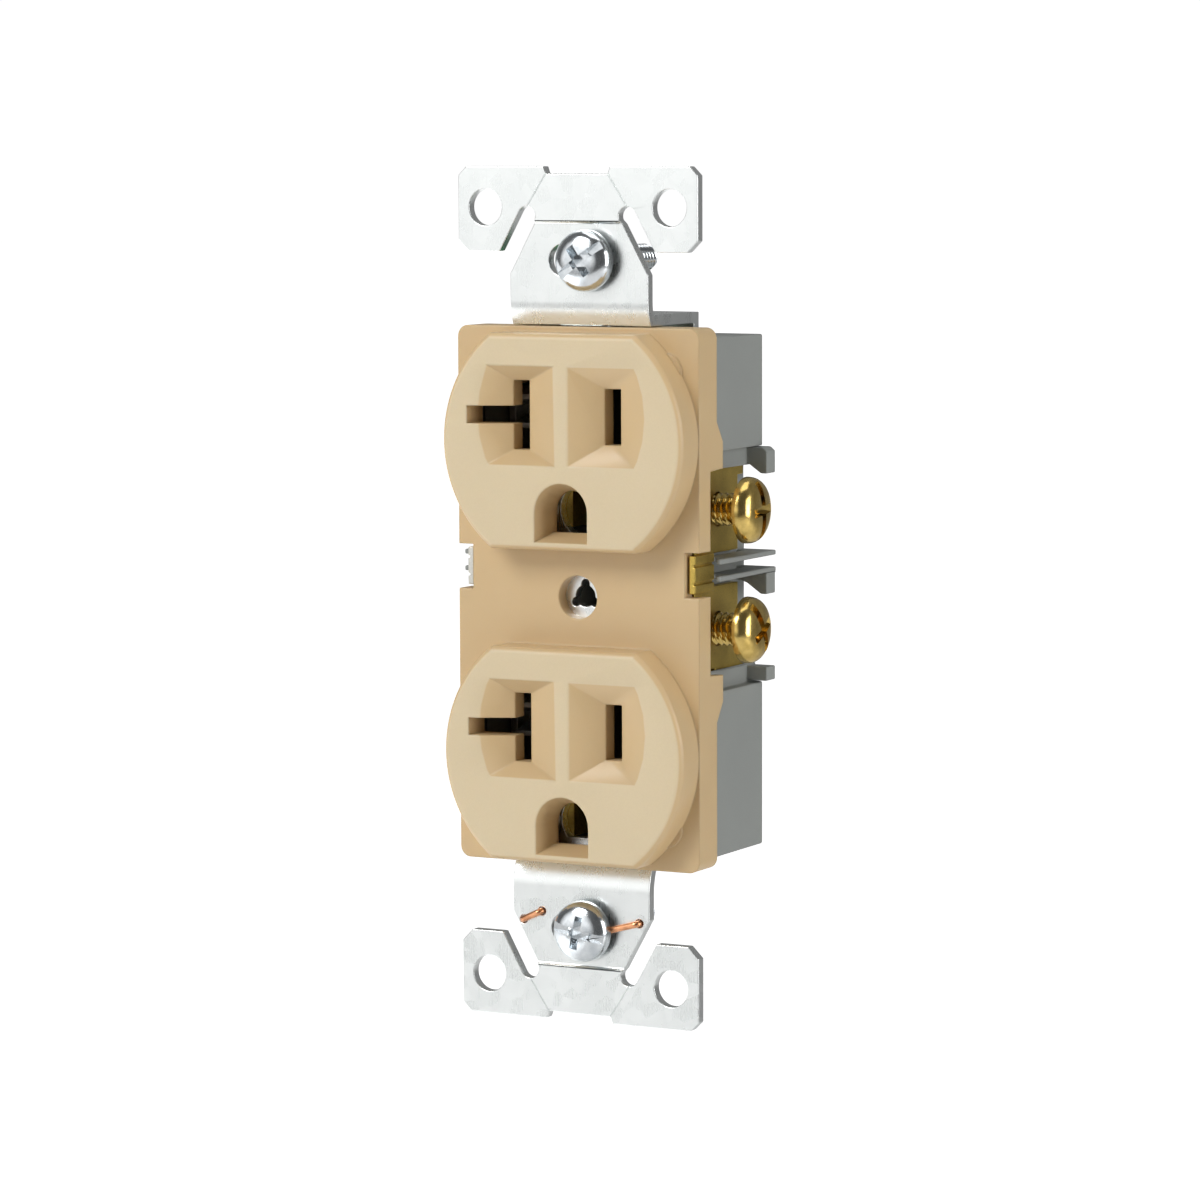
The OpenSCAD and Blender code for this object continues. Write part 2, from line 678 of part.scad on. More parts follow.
// Tubular rivet from y0 to y1 with a head at each end
module rivet(x, z, y0, y1) {
    rod_y(x, z, y0, y1, rivet_r);
    rod_y(x, z, y0 - 0.5, y0, rivet_head_r);
    rod_y(x, z, y1, y1 + 0.5, rivet_head_r);
}
module contact_rivets() for (s = [-1, 1]) rivet(rivet_x, outlet_z(s) + blade_rise, contact_base, foot_back);
module hot_contact_rivets() color(brass) contact_rivets();
module neutral_contact_rivets() color(nickel) mirror([1, 0, 0]) contact_rivets();

rivet_ground_x = 5.1;
ground_contact_t = 0.6;
ground_base_top = 4;                // the base's edges above and below the opening's centre
ground_base_low = cavity_hh - outlet_pitch / 2 + ground_z - 0.2;
ground_leaf = [[2.45, strap_back], [2.2, strap_back + 2.6], [2.5, strap_back + 6.5], [3.1, strap_back + 9.4]];

// Ground contact: a base riveted behind the strap and two springs
module ground_contact(s) color(brass) translate([0, 0, outlet_z(s) + ground_z]) {
    difference() {
        along_y(strap_back, strap_back + ground_contact_t)
            translate([0, (ground_base_top - ground_base_low) / 2])
                round_rect(pad_hw - 0.3, (ground_base_top + ground_base_low) / 2, 0.8);
        block(-2.5, 2.5, 0, 9, -ground_base_low - 1, ground_r + 0.05);
        both_sides() rod_y(rivet_ground_x, 0, 0, 9, rivet_r + 0.02);
    }
    both_sides() translate([0, 0, -2.3]) linear_extrude(4.6)
        polygon([for (p = ground_leaf) p, for (k = [3 : -1 : 0]) ground_leaf[k] + [ground_contact_t, 0]]);
}

module ground_contact_rivets() color(nickel) for (s = [-1, 1], x = [-1, 1])
    rivet(x * rivet_ground_x, outlet_z(s) + ground_z, strap_y, strap_back + ground_contact_t);

// ---- Screws ----

// Pan head on its underside at the origin, rising along +Z, with a slot and a cross
module pan_head(r, h, edge, slot, turn) difference() {
    rotate_extrude() {
        square([r, h - edge]);
        square([r - edge, h]);
        translate([r - edge, h - edge]) intersection() {
            circle(edge);
            square(edge);
        }
    }
    rotate(turn) translate([-r - 1, -slot / 2, h - 1]) cube([2 * r + 2, slot, 2]);
    rotate(turn + 90) translate([-r * 0.45, -slot / 2, h - 1.3]) cube([r * 0.9, slot, 2]);
}

module terminal_screw(s) translate([plate_out + wire_gap, screw_y, terminal_mid + s * terminal_pitch / 2]) {
    rotate([0, 90, 0]) pan_head(terminal_head_r, terminal_head_h, 1.3, 1.1, 20 - 10 * s);
    rod_x(0, 0, terminal_tip - plate_out - wire_gap, 0.1, terminal_screw_r);
}
module hot_screw(s) color(brass) terminal_screw(s);
module neutral_screw(s) color(zinc) mirror([1, 0, 0]) terminal_screw(s);

// Box screw: a plain neck where the retainer sits, then the thread
module box_screw(x, z, turn) color(zinc) {
    translate([x, head_y, z]) rotate([90, 0, 0]) pan_head(box_head_r, box_head_h, 1.2, 1.1, turn);
    rod_y(x, z, head_y - 0.1, washer_y + washer_t + 0.5, neck_r);
    rod_y(x, z, washer_y + washer_t + 0.4, box_screw_reach, box_screw_r);
}

module screw_retainer(x, z) color("#4A4A46") difference() {
    rod_y(x, z, washer_y, washer_y + washer_t, washer_r);
    rod_y(x, z, washer_y - 1, washer_y + washer_t + 1, neck_r + run_gap);
}

module ground_screw() color(green) translate([ground_x, ground_y, tab_z + strap_t + ground_gap]) {
    difference() {
        union() {
            cylinder(h = 0.6, r = 4.1);
            cylinder(h = ground_head_h, r = 4.05, $fn = 6);
        }
        translate([-5, -0.55, ground_head_h - 0.9]) cube([10, 1.1, 2]);
    }
    translate([0, 0, -ground_gap - strap_t - ground_tip])
        cylinder(h = ground_gap + strap_t + ground_tip + 0.1, r = ground_screw_r);
}

// Four thread-forming screws that draw the body to the cover
module assembly_screws() color(zinc) both_ends() both_sides() {
    rod_y(post_x, post_z, flange_t + 1, cavity_back + 0.5, post_screw_r);
    difference() {
        rod_y(post_x, post_z, cavity_back + 0.4, body_depth - 0.3, boss_r - 0.1);
        block(post_x - 3, post_x + 3, body_depth - 0.8, body_depth, post_z - 0.3, post_z + 0.3);
        block(post_x - 0.3, post_x + 0.3, body_depth - 0.8, body_depth, post_z - 3, post_z + 3);
    }
}

front_cover();
rear_body();
mounting_strap();
hot_terminal_strip();
neutral_terminal_strip();
hot_contact(1);  // hot_contact_upper
hot_contact(-1);  // hot_contact_lower
neutral_contact(1);  // neutral_contact_upper
neutral_contact(-1);  // neutral_contact_lower
hot_contact_rivets();
neutral_contact_rivets();
ground_contact(1);  // ground_contact_upper
ground_contact(-1);  // ground_contact_lower
ground_contact_rivets();
auto_ground_clip();
assembly_screws();
box_screw(upper_screw_x, box_screw_z, -35);  // upper_box_screw
box_screw(lower_screw_x, -box_screw_z, 12);  // lower_box_screw
screw_retainer(upper_screw_x, box_screw_z);  // upper_screw_retainer
screw_retainer(lower_screw_x, -box_screw_z);  // lower_screw_retainer
hot_screw(1);  // hot_screw_upper
hot_screw(-1);  // hot_screw_lower
neutral_screw(1);  // neutral_screw_upper
neutral_screw(-1);  // neutral_screw_lower
ground_screw();
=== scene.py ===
"""Duplex wall outlet: the looks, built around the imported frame.

Metres. X runs to the right, Y into the wall and Z up.
"""

import math

import bmesh
import bpy
from mathutils import Matrix, Vector


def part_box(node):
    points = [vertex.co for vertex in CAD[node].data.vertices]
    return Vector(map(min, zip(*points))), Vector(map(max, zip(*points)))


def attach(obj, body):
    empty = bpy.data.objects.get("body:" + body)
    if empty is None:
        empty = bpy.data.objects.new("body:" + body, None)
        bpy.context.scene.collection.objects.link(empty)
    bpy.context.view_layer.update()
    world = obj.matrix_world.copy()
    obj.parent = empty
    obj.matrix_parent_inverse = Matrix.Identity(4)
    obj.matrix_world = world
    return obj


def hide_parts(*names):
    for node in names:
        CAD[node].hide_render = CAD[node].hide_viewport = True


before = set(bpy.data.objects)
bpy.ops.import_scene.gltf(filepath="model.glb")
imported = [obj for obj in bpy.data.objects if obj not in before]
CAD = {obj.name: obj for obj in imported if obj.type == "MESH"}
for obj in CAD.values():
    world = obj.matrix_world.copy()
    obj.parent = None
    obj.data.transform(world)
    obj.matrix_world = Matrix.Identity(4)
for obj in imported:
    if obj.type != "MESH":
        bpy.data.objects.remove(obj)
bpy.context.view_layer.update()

MM = 0.001
MICRON = 1e-6
ROOT = "receptacle"


def centre_of(node):
    low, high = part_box(node)
    return (low + high) / 2


# ---- Node trees ----

class Nodes:
    """Adds nodes to a tree. Each input takes a socket or a plain value."""

    def __init__(self, tree):
        self.tree = tree

    def add(self, kind, inputs=None, **settings):
        node = self.tree.nodes.new(kind)
        for name, value in settings.items():
            setattr(node, name, value)
        for key, value in (inputs or {}).items():
            self.feed(node.inputs[key], value)
        return node

    def feed(self, socket, value):
        several = value if isinstance(value, list) else [value]
        for one in several:
            if isinstance(one, bpy.types.NodeSocket):
                self.tree.links.new(one, socket)
            else:
                socket.default_value = one

    def math(self, operation, a, b=0.0, c=0.0, clamp=False):
        node = self.add("ShaderNodeMath", {0: a, 1: b, 2: c}, operation=operation, use_clamp=clamp)
        return node.outputs[0]

    def xyz(self, vector):
        return self.add("ShaderNodeSeparateXYZ", {0: vector}).outputs

    def vector(self, x=0.0, y=0.0, z=0.0):
        return self.add("ShaderNodeCombineXYZ", {0: x, 1: y, 2: z}).outputs[0]


class Finish(Nodes):
    """A procedural material under construction, on Object coordinates."""

    def __init__(self, name, **shader):
        self.material = bpy.data.materials.new(name)
        self.material.use_nodes = True
        super().__init__(self.material.node_tree)
        self.tree.nodes.clear()
        self.shader = self.add("ShaderNodeBsdfPrincipled")
        for key, value in shader.items():
            self.shader.inputs[key.replace("_", " ")].default_value = value
        self.add("ShaderNodeOutputMaterial", {"Surface": self.shader.outputs[0]})
        self.place = self.add("ShaderNodeTexCoord").outputs["Object"]

    def spread(self, size, stretch):
        """Coordinates in which one unit is size long, stretched along the axes."""
        scale = tuple(1 / (size * s) for s in stretch)
        return self.add("ShaderNodeMapping", {"Vector": self.place, "Scale": scale}).outputs[0]

    def noise(self, size, detail=2.0, stretch=(1, 1, 1), grit=0.5):
        inputs = {"Vector": self.spread(size, stretch), "Scale": 1.0, "Detail": detail, "Roughness": grit}
        return self.add("ShaderNodeTexNoise", inputs).outputs["Fac"]

    def cells(self, size):
        """A random colour for each crystal patch of this size."""
        inputs = {"Vector": self.spread(size, (1, 1, 1)), "Scale": 1.0}
        return self.add("ShaderNodeTexVoronoi", inputs, feature="F1").outputs["Color"]

    def remap(self, value, low, high, to_low=0.0, to_high=1.0):
        inputs = {0: value, 1: low, 2: high, 3: to_low, 4: to_high}
        return self.add("ShaderNodeMapRange", inputs).outputs[0]

    def mix(self, amount, a, b):
        node = self.add("ShaderNodeMix", data_type="RGBA")
        self.feed(node.inputs[0], amount)
        for socket, colour in ((node.inputs[6], a), (node.inputs[7], b)):
            self.feed(socket, colour if isinstance(colour, bpy.types.NodeSocket) else (*colour, 1.0))
        return node.outputs[2]

    def colour(self, socket):
        self.feed(self.shader.inputs["Base Color"], socket)

    def roughness(self, value, low, high):
        self.feed(self.shader.inputs["Roughness"], self.remap(value, 0.0, 1.0, low, high))

    def bumps(self, *layers, edge=0.0):
        """Bump from (height, depth) pairs, each depth in metres, over edges rounded by a radius."""
        normal = self.add("ShaderNodeBevel", {"Radius": edge}, samples=6).outputs[0] if edge else None
        for height, depth in layers:
            node = self.add("ShaderNodeBump", {"Height": height, "Distance": depth})
            if normal:
                self.feed(node.inputs["Normal"], normal)
            normal = node.outputs[0]
        self.feed(self.shader.inputs["Normal"], normal)


# ---- Finishes ----

def ivory_plastic():
    """Moulded cover: satin all over, with a finer, rougher grain on the outlet faces, whose colour is also
    made lighter there as a painted sheen.
    """
    f = Finish("ivory_plastic", Specular_IOR_Level=0.5, Subsurface_Weight=0.12, Subsurface_Scale=0.8 * MM,
               Subsurface_Radius=(1.0, 0.55, 0.25))
    face_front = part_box("front_cover")[0].y
    on_face = f.remap(f.xyz(f.place)[1], face_front + 0.14 * MM, face_front + 0.04 * MM)
    clouds = f.noise(9 * MM, detail=3)
    grain = f.noise(0.16 * MM, detail=2)
    satin = f.mix(clouds, (0.595, 0.425, 0.225), (0.645, 0.475, 0.262))
    # Painted sheen: the outlet faces get a lighter colour that stands in for the extra light they reflect;
    # only their rougher surface, set below, is a real finish
    face_tone_with_painted_sheen = f.mix(clouds, (0.655, 0.535, 0.345), (0.690, 0.570, 0.372))
    f.colour(f.mix(f.remap(grain, 0.3, 0.7, 0.0, 0.08), f.mix(on_face, satin, face_tone_with_painted_sheen), (0.45, 0.33, 0.19)))
    f.roughness(f.math("ADD", f.math("MULTIPLY", on_face, 0.6), f.math("MULTIPLY", grain, 0.4)), 0.30, 0.56)
    f.bumps((f.noise(3.5 * MM), 14 * MICRON), (grain, 5 * MICRON), edge=0.35 * MM)
    return f.material


def grey_plastic():
    f = Finish("grey_plastic", Specular_IOR_Level=0.45)
    clouds = f.noise(7 * MM, detail=4)
    grain = f.noise(0.14 * MM, detail=3)
    base = f.mix(clouds, (0.255, 0.268, 0.255), (0.290, 0.304, 0.288))
    f.colour(f.mix(f.remap(grain, 0.3, 0.7, 0.0, 0.25), base, (0.25, 0.26, 0.25)))
    f.roughness(grain, 0.38, 0.62)
    f.bumps((f.noise(4 * MM), 18 * MICRON), (grain, 7 * MICRON))
    return f.material


def sheet_metal(name, bright, dull, rough):
    """Rolled sheet: streaks along its length, faint crystal patches and fine scratches."""
    f = Finish(name, Metallic=1.0)
    streaks = f.noise(0.12 * MM, detail=3, stretch=(1, 1, 40))
    patches = f.cells(1.6 * MM)
    clouds = f.noise(5 * MM, detail=4)
    patch = f.xyz(patches)[0]
    tone = f.math("ADD", f.math("MULTIPLY", patch, 0.25), f.math("MULTIPLY", clouds, 0.75))
    colour = f.mix(tone, dull, bright)
    scratches = f.remap(f.noise(0.10 * MM, detail=1, stretch=(1, 1, 90)), 0.70, 0.74)
    f.colour(f.mix(f.math("MULTIPLY", scratches, 0.35), colour, dull))
    f.roughness(f.math("ADD", f.math("MULTIPLY", streaks, 0.7), f.math("MULTIPLY", patch, 0.3)), *rough)
    f.bumps((streaks, 1.5 * MICRON), (f.noise(0.5 * MM), 3 * MICRON), (scratches, -2 * MICRON))
    return f.material


def stamped_brass(name, bright, dull, rough):
    """Stamped brass strip with a sandy surface."""
    f = Finish(name, Metallic=1.0)
    grain = f.noise(0.22 * MM, detail=4, grit=0.7)
    clouds = f.noise(3 * MM, detail=3)
    tone = f.math("ADD", f.math("MULTIPLY", grain, 0.6), f.math("MULTIPLY", clouds, 0.4))
    f.colour(f.mix(f.remap(tone, 0.3, 0.7), dull, bright))
    f.roughness(grain, *rough)
    f.bumps((clouds, 10 * MICRON), (grain, 14 * MICRON))
    return f.material


def plated_screw(name, bright, dull, rough):
    """Bright plating, a little dull in soft random clouds."""
    f = Finish(name, Metallic=1.0)
    clouds = f.noise(1.4 * MM, detail=4)
    fine = f.noise(0.10 * MM, detail=2)
    f.colour(f.mix(f.remap(clouds, 0.35, 0.7), bright, dull))
    f.roughness(f.math("ADD", f.math("MULTIPLY", clouds, 0.6), f.math("MULTIPLY", fine, 0.4)), *rough)
    f.bumps((f.noise(0.9 * MM), 7 * MICRON), (fine, 1.5 * MICRON))
    return f.material


def fibre():
    f = Finish("vulcanised_fibre", Specular_IOR_Level=0.3)
    fibres = f.noise(0.07 * MM, detail=4, stretch=(9, 1, 2))
    f.colour(f.mix(fibres, (0.012, 0.013, 0.012), (0.055, 0.056, 0.052)))
    f.roughness(fibres, 0.6, 0.9)
    f.bumps((fibres, 18 * MICRON))
    return f.material


IVORY = ivory_plastic()
GREY = grey_plastic()
STEEL = sheet_metal("galvanised_sheet", (0.93, 0.95, 0.94), (0.78, 0.81, 0.80), (0.22, 0.36))
BRASS = stamped_brass("stamped_brass", (0.72, 0.53, 0.14), (0.44, 0.31, 0.065), (0.30, 0.52))
NICKEL = stamped_brass("nickelled_brass", (0.74, 0.72, 0.66), (0.55, 0.54, 0.49), (0.28, 0.50))
BRASS_SCREW = plated_screw("brass_plating", (0.80, 0.58, 0.19), (0.52, 0.36, 0.10), (0.13, 0.26))
ZINC_SCREW = plated_screw("zinc_plating", (0.80, 0.83, 0.85), (0.58, 0.62, 0.65), (0.10, 0.24))
GREEN_SCREW = plated_screw("green_plating", (0.05, 0.36, 0.13), (0.03, 0.24, 0.08), (0.20, 0.36))
COPPER = plated_screw("bare_copper", (0.86, 0.42, 0.22), (0.55, 0.24, 0.12), (0.22, 0.42))
FIBRE = fibre()


# ---- Making pieces ----

# Degrees at which two faces count as an edge: to bevel it, and to keep it sharp in the shading
BEVEL_FOLD = 24
COVER_FOLD = 35
SHARP_CAD, SHARP_FORM, SHARP_WIRE = 34, 40, 50
MERGE = 2 * MICRON
FLAT = math.radians(0.3)          # faces closer in angle than this are one flat area
MOULDED_EDGE, SHEET_EDGE = 0.18 * MM, 0.12 * MM
RAISED_FRONT = -1.0 * MM          # everything further forward is on a raised outlet face

def baked(obj):
    """The mesh that an object's modifiers make. The object goes."""
    depsgraph = bpy.context.evaluated_depsgraph_get()
    mesh = bpy.data.meshes.new_from_object(obj.evaluated_get(depsgraph))
    bpy.data.objects.remove(obj)
    return mesh


def smoothed(mesh, fold):
    """Smooth shading up to fold degrees, with the larger faces kept flat."""
    mesh.shade_smooth()
    mesh.set_sharp_from_angle(angle=math.radians(fold))
    obj = shown(mesh)
    flat = obj.modifiers.new("flat", "WEIGHTED_NORMAL")
    flat.weight = 100
    flat.keep_sharp = True
    return baked(obj)


def settle(obj, name, body, material, nodes, fold):
    """Turns an object and its modifiers into a plain piece that stands for CAD nodes."""
    mesh = smoothed(baked(obj), fold)
    mesh.name = name
    mesh.materials.clear()
    mesh.materials.append(material)
    piece = bpy.data.objects.new(name, mesh)
    bpy.context.scene.collection.objects.link(piece)
    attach(piece, body)
    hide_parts(*nodes)
    return piece


def shown(mesh):
    obj = bpy.data.objects.new("making", mesh)
    bpy.context.scene.collection.objects.link(obj)
    return obj


def merged_copy(node, short=0.0):
    """A CAD node's mesh with its doubles merged, and so the ends of edges under short on raised fronts."""
    source = CAD[node].data
    bm = bmesh.new()
    corners = [bm.verts.new(v.co) for v in source.vertices]
    for polygon in source.polygons:
        bm.faces.new([corners[i] for i in polygon.vertices])
    bmesh.ops.remove_doubles(bm, verts=bm.verts, dist=MERGE)
    if short:
        tiny = [e for e in bm.edges
                if e.calc_length() < short and all(v.co.y < RAISED_FRONT for v in e.verts)]
        # In the edges' own order, since which end stays depends on it
        ends = list(dict.fromkeys(v for e in tiny for v in e.verts))
        bmesh.ops.remove_doubles(bm, verts=ends, dist=short)
        bmesh.ops.dissolve_degenerate(bm, dist=MERGE, edges=bm.edges)
    return bm


def joined_flats(mesh):
    """Makes the triangles of each flat area one face, so that its shading stays flat."""
    bm = bmesh.new()
    bm.from_mesh(mesh)
    bmesh.ops.dissolve_limit(bm, angle_limit=FLAT, verts=bm.verts, edges=bm.edges)
    bm.to_mesh(mesh)
    bm.free()
    return mesh


def soften(name, node, body, material, width, radius_at=None, cutter=None, fold=BEVEL_FOLD, short=0.0,
           joined=True):
    """Copy of a CAD node with rounded edges: width is the widest, radius_at gives each edge its own."""
    bm = merged_copy(node, short)
    weight = bm.edges.layers.float.new("bevel_weight_edge")
    for edge in bm.edges:
        if len(edge.link_faces) == 2 and edge.calc_face_angle() > math.radians(fold):
            middle = (edge.verts[0].co + edge.verts[1].co) / 2
            edge[weight] = radius_at(middle) / width if radius_at else 1.0
    mesh = bpy.data.meshes.new(name)
    bm.to_mesh(mesh)
    bm.free()
    obj = shown(mesh)
    bevel = obj.modifiers.new("round", "BEVEL")
    bevel.limit_method = "WEIGHT"
    bevel.width = width
    bevel.segments = 3
    bevel.use_clamp_overlap = False
    bevel.loop_slide = False
    if cutter:
        cut = obj.modifiers.new("cut", "BOOLEAN")
        cut.object = cutter
        cut.solver = "EXACT"
    if joined:
        obj = shown(joined_flats(baked(obj)))
    piece = settle(obj, name, body, material, [node], SHARP_CAD)
    if cutter:
        bpy.data.objects.remove(cutter)
    return piece


# ---- Screws and rivets, by geometry nodes ----

class Form(Nodes):
    """A geometry tree under construction: points in, one form placed on each of them."""

    def __init__(self, name, sizes):
        super().__init__(bpy.data.node_groups.new(name, "GeometryNodeTree"))
        face = self.tree.interface
        face.new_socket("Geometry", in_out="INPUT", socket_type="NodeSocketGeometry")
        self.keys = {}
        for size, kind in sizes.items():
            item = face.new_socket(size, in_out="INPUT", socket_type="NodeSocket" + kind)
            self.keys[size] = item.identifier
        face.new_socket("Geometry", in_out="OUTPUT", socket_type="NodeSocketGeometry")
        self.given = self.add("NodeGroupInput").outputs

    def rod(self, sides, rings, low, high):
        """Upright unit cylinder from low to high, closed at both ends."""
        depth = self.math("SUBTRACT", high, low)
        rod = self.add("GeometryNodeMeshCylinder", {"Vertices": sides, "Side Segments": rings, "Radius": 1.0,
                                                    "Depth": depth})
        middle = self.math("MULTIPLY", self.math("ADD", high, low), 0.5)
        return self.moved(rod.outputs["Mesh"], self.vector(0.0, 0.0, middle))

    def moved(self, geometry, by, turn=(0.0, 0.0, 0.0)):
        return self.add("GeometryNodeTransform", {"Geometry": geometry, "Translation": by,
                                                  "Rotation": turn}).outputs[0]

    def shaped(self, geometry, radius, height=None):
        """Sets a rod's radius, and its height if given, from sockets."""
        x, y, z = self.xyz(self.add("GeometryNodeInputPosition").outputs[0])
        place = self.vector(self.math("MULTIPLY", x, radius), self.math("MULTIPLY", y, radius),
                            z if height is None else height)
        return self.add("GeometryNodeSetPosition", {"Geometry": geometry, "Position": place}).outputs[0]

    def union(self, *parts):
        return self.add("GeometryNodeMeshBoolean", {"Mesh 2": list(parts)}, operation="UNION",
                        solver="EXACT").outputs[0]

    def finish(self, form):
        """Places the form on the points, makes it real and gives it its finish."""
        placed = self.add("GeometryNodeInstanceOnPoints", {"Points": self.given["Geometry"], "Instance": form,
                                                           "Rotation": self.given["Lean"]})
        real = self.add("GeometryNodeRealizeInstances", {0: placed.outputs[0]})
        finished = self.add("GeometryNodeSetMaterial", {0: real.outputs[0], "Material": self.given["Finish"]})
        self.add("NodeGroupOutput", {0: finished.outputs[0]})


def domed_head(f, sides, radius, height, squareness):
    """Head with an upright rim that turns over into a shallow crown, its underside at zero."""
    rod = f.rod(sides, 26, 0.0, 1.0)
    z = f.xyz(f.add("GeometryNodeInputPosition").outputs[0])[2]
    swing = f.math("MULTIPLY", z, math.radians(88))
    power = f.math("DIVIDE", 2.0, squareness)
    out = f.math("POWER", f.math("COSINE", swing), power)
    up = f.math("POWER", f.math("SINE", swing), power)
    return f.shaped(rod, f.math("MULTIPLY", out, radius), f.math("MULTIPLY", up, height))


def screw_thread(f, low, high, radius, pitch, depth):
    """V thread between two heights, its tip at low tapered."""
    rings = f.math("CEIL", f.math("DIVIDE", f.math("SUBTRACT", high, low), f.math("DIVIDE", pitch, 8.0)))
    rod = f.rod(32, rings, low, high)
    x, y, z = f.xyz(f.add("GeometryNodeInputPosition").outputs[0])
    turns = f.math("DIVIDE", f.math("ARCTAN2", y, x), math.tau)
    phase = f.math("FRACT", f.math("SUBTRACT", f.math("DIVIDE", z, pitch), turns))
    wave = f.math("ABSOLUTE", f.math("MULTIPLY_ADD", phase, 2.0, -1.0))
    crest = f.math("MULTIPLY_ADD", wave, 1.35, -0.175, clamp=True)
    valley = f.math("MULTIPLY", f.math("SUBTRACT", 1.0, crest), depth)
    near_tip = f.math("DIVIDE", f.math("SUBTRACT", z, low), f.math("MULTIPLY", pitch, 1.2), clamp=True)
    taper = f.math("MULTIPLY_ADD", near_tip, 0.26, 0.74)
    return f.shaped(rod, f.math("MULTIPLY", f.math("SUBTRACT", radius, valley), taper))


def recess_wing(f, length, width, top, depth, turn):
    """One tapered wing of a drive recess, cut down from top."""
    size = f.vector(length, width, f.math("MULTIPLY", depth, 2.0))
    cube = f.add("GeometryNodeMeshCube", {"Size": size}).outputs["Mesh"]
    x, y, z = f.xyz(f.add("GeometryNodeInputPosition").outputs[0])
    lean = f.math("ADD", 1.0, f.math("MULTIPLY", f.math("DIVIDE", z, depth), 0.5))
    wing = f.add("GeometryNodeSetPosition",
                 {"Geometry": cube, "Position": f.vector(f.math("MULTIPLY", x, lean), y, z)}).outputs[0]
    return f.moved(wing, f.vector(0.0, 0.0, top), f.vector(0.0, 0.0, turn))


SCREW_SIZES = {
    "Head Radius": "Float", "Head Height": "Float", "Head Sides": "Int", "Head Squareness": "Float",
    "Flange Radius": "Float", "Flange Height": "Float",
    "Slot Width": "Float", "Slot Depth": "Float", "Cross Length": "Float", "Cross Depth": "Float",
    "Turn": "Float", "Neck Radius": "Float", "Neck Length": "Float", "Thread Radius": "Float",
    "Thread Depth": "Float", "Pitch": "Float", "Reach": "Float", "Lean": "Vector", "Finish": "Material"}


def screw_form():
    f = Form("screw_form", SCREW_SIZES)
    g = f.given
    head = domed_head(f, g["Head Sides"], g["Head Radius"], g["Head Height"], g["Head Squareness"])
    flange = domed_head(f, 48, g["Flange Radius"], g["Flange Height"], 4.0)
    blank = f.union(head, flange)
    quarter = f.math("ADD", g["Turn"], math.pi / 2)
    long_slot = f.math("MULTIPLY", g["Head Radius"], 4.0)
    slot = recess_wing(f, long_slot, g["Slot Width"], g["Head Height"], g["Slot Depth"], g["Turn"])
    wings = [recess_wing(f, g["Cross Length"], g["Slot Width"], g["Head Height"], g["Cross Depth"], turn)
             for turn in (g["Turn"], quarter)]
    cut = f.add("GeometryNodeMeshBoolean", {"Mesh 1": blank, "Mesh 2": [slot, *wings]},
                operation="DIFFERENCE", solver="EXACT").outputs[0]
    low_neck = f.math("MULTIPLY", g["Neck Length"], -1.0)
    tip = f.math("MULTIPLY", g["Reach"], -1.0)
    neck_rod = f.rod(32, 1, f.math("SUBTRACT", low_neck, 0.1 * MM), f.math("MULTIPLY", g["Head Height"], 0.3))
    neck = f.shaped(neck_rod, g["Neck Radius"])
    thread = screw_thread(f, tip, low_neck, g["Thread Radius"], g["Pitch"], g["Thread Depth"])
    whole = f.union(cut, neck, thread)
    z = f.xyz(f.add("GeometryNodeInputPosition").outputs[0])[2]
    on_head = f.math("GREATER_THAN", z, 0.05 * MM)
    folded = f.math("GREATER_THAN", f.add("GeometryNodeInputMeshEdgeAngle").outputs[0], math.radians(32))
    weight = f.math("MULTIPLY", on_head, folded)
    marked = f.add("GeometryNodeStoreNamedAttribute",
                   {"Geometry": whole, "Name": "bevel_weight_edge", "Value": weight},
                   data_type="FLOAT", domain="EDGE").outputs[0]
    f.finish(marked)
    return f


def rivet_form():
    """Tubular rivet: a domed head at each end of a shank, the far one rolled over round its bore."""
    f = Form("rivet_form", {"Shank Radius": "Float", "Head Radius": "Float", "Head Height": "Float",
                            "Grip": "Float", "Bore Radius": "Float", "Lean": "Vector", "Finish": "Material"})
    g = f.given
    half_grip = f.math("MULTIPLY", g["Grip"], 0.5)
    head = f.moved(domed_head(f, 32, g["Head Radius"], g["Head Height"], 2.6), f.vector(0.0, 0.0, half_grip))
    rolled = f.moved(domed_head(f, 32, g["Head Radius"], g["Head Height"], 2.2),
                     f.vector(0.0, 0.0, f.math("MULTIPLY", half_grip, -1.0)), (math.pi, 0.0, 0.0))
    over = f.math("ADD", half_grip, f.math("MULTIPLY", g["Head Height"], 0.3))
    shank = f.shaped(f.rod(32, 1, f.math("MULTIPLY", over, -1.0), over), g["Shank Radius"])
    bore = f.shaped(f.rod(24, 1, f.math("MULTIPLY", over, -3.0), f.math("MULTIPLY", half_grip, -0.2)),
                    g["Bore Radius"])
    whole = f.add("GeometryNodeMeshBoolean", {"Mesh 1": f.union(head, rolled, shank), "Mesh 2": bore},
                  operation="DIFFERENCE", solver="EXACT").outputs[0]
    f.finish(whole)
    return f


def washer_form():
    """Flat washer with a plain round bore and eased edges."""
    f = Form("washer_form", {"Radius": "Float", "Bore Radius": "Float", "Thickness": "Float", "Edge": "Float",
                             "Lean": "Vector", "Finish": "Material"})
    g = f.given
    half = f.math("MULTIPLY", g["Thickness"], 0.5)
    rod = f.rod(72, 10, -1.0, 1.0)
    z = f.xyz(f.add("GeometryNodeInputPosition").outputs[0])[2]
    inset = f.math("MULTIPLY", f.math("POWER", f.math("ABSOLUTE", z), 6.0), g["Edge"])
    disc = f.shaped(rod, f.math("SUBTRACT", g["Radius"], inset), f.math("MULTIPLY", z, half))
    bore_rod = f.rod(36, 1, f.math("MULTIPLY", half, -2.0), f.math("MULTIPLY", half, 2.0))
    bore = f.shaped(bore_rod, g["Bore Radius"])
    whole = f.add("GeometryNodeMeshBoolean", {"Mesh 1": disc, "Mesh 2": bore}, operation="DIFFERENCE",
                  solver="EXACT").outputs[0]
    f.finish(whole)
    return f


SCREW = screw_form()
RIVET = rivet_form()
WASHER = washer_form()

